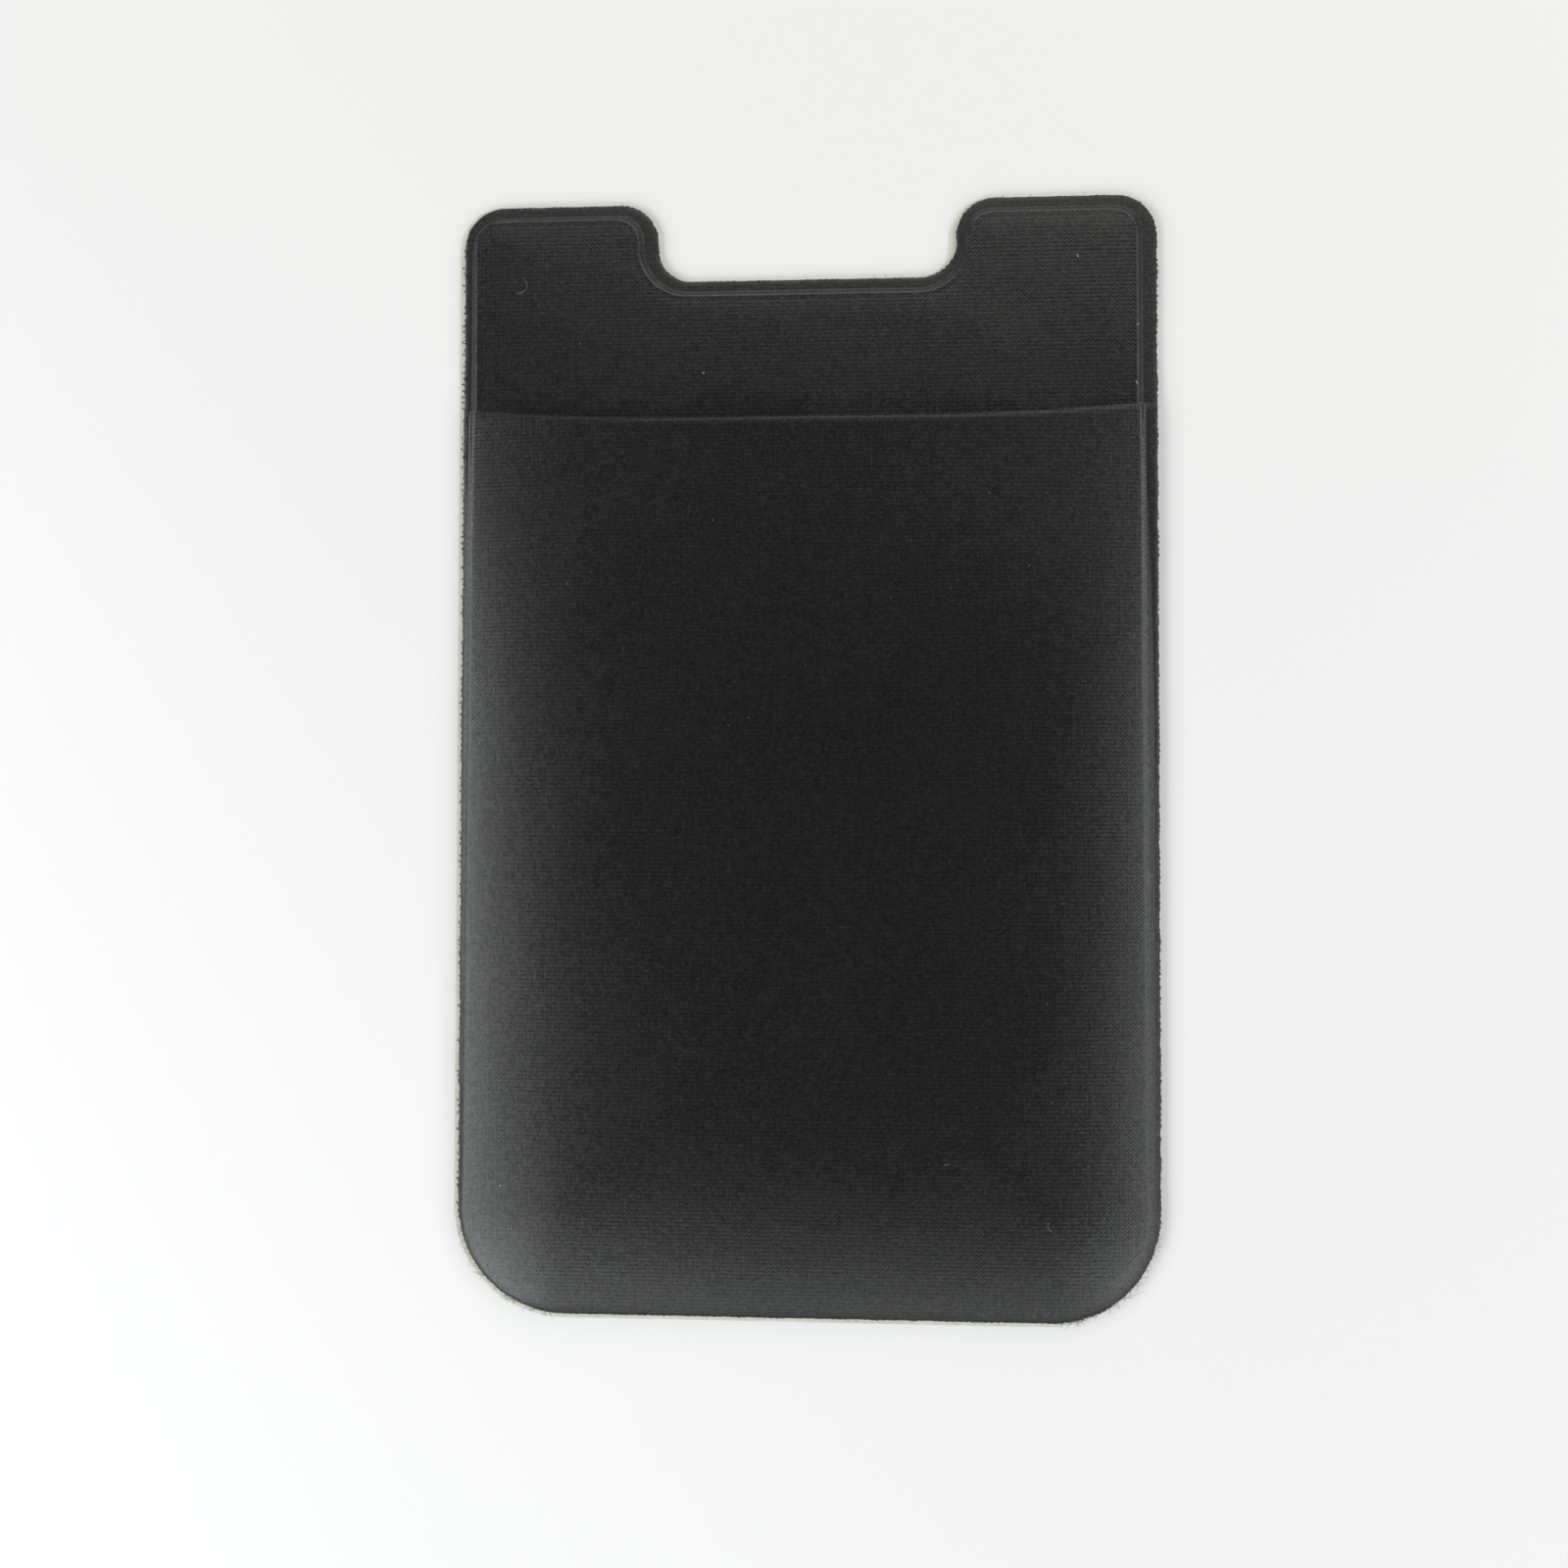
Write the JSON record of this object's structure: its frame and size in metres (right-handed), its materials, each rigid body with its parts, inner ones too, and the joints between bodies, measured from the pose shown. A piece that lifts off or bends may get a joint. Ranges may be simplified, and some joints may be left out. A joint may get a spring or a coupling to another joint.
{
  "type": "magnetic phone card holder",
  "caption": "Slim black knit sleeve for the back of a phone, with a welded card pocket, a thumb notch between its ears, a thin flexible magnet core and a peel-off back.",
  "frame": {"origin": "centre of the sleeve's back, on the surface that the sleeve lies on", "axes": "+X across the panel, +Y towards the ears and the thumb notch, +Z out of the front face"},
  "size_m": [0.0586, 0.0936, 0.0018],
  "materials": {
    "pocket_knit": "fine matte stretch knit",
    "base_knit": "fine matte stretch knit with a heat-pressed border",
    "magnet_rubber": "smooth flexible magnet",
    "adhesive_film": "clear tacky film",
    "liner_paper": "pale coated release paper"
  },
  "bodies": {
    "root": {"front_pocket": "pocket_knit", "base_panel": "base_knit", "magnet_sheet": "magnet_rubber", "adhesive_sheet": "adhesive_film", "release_liner": "liner_paper"}
  },
  "joints": []
}
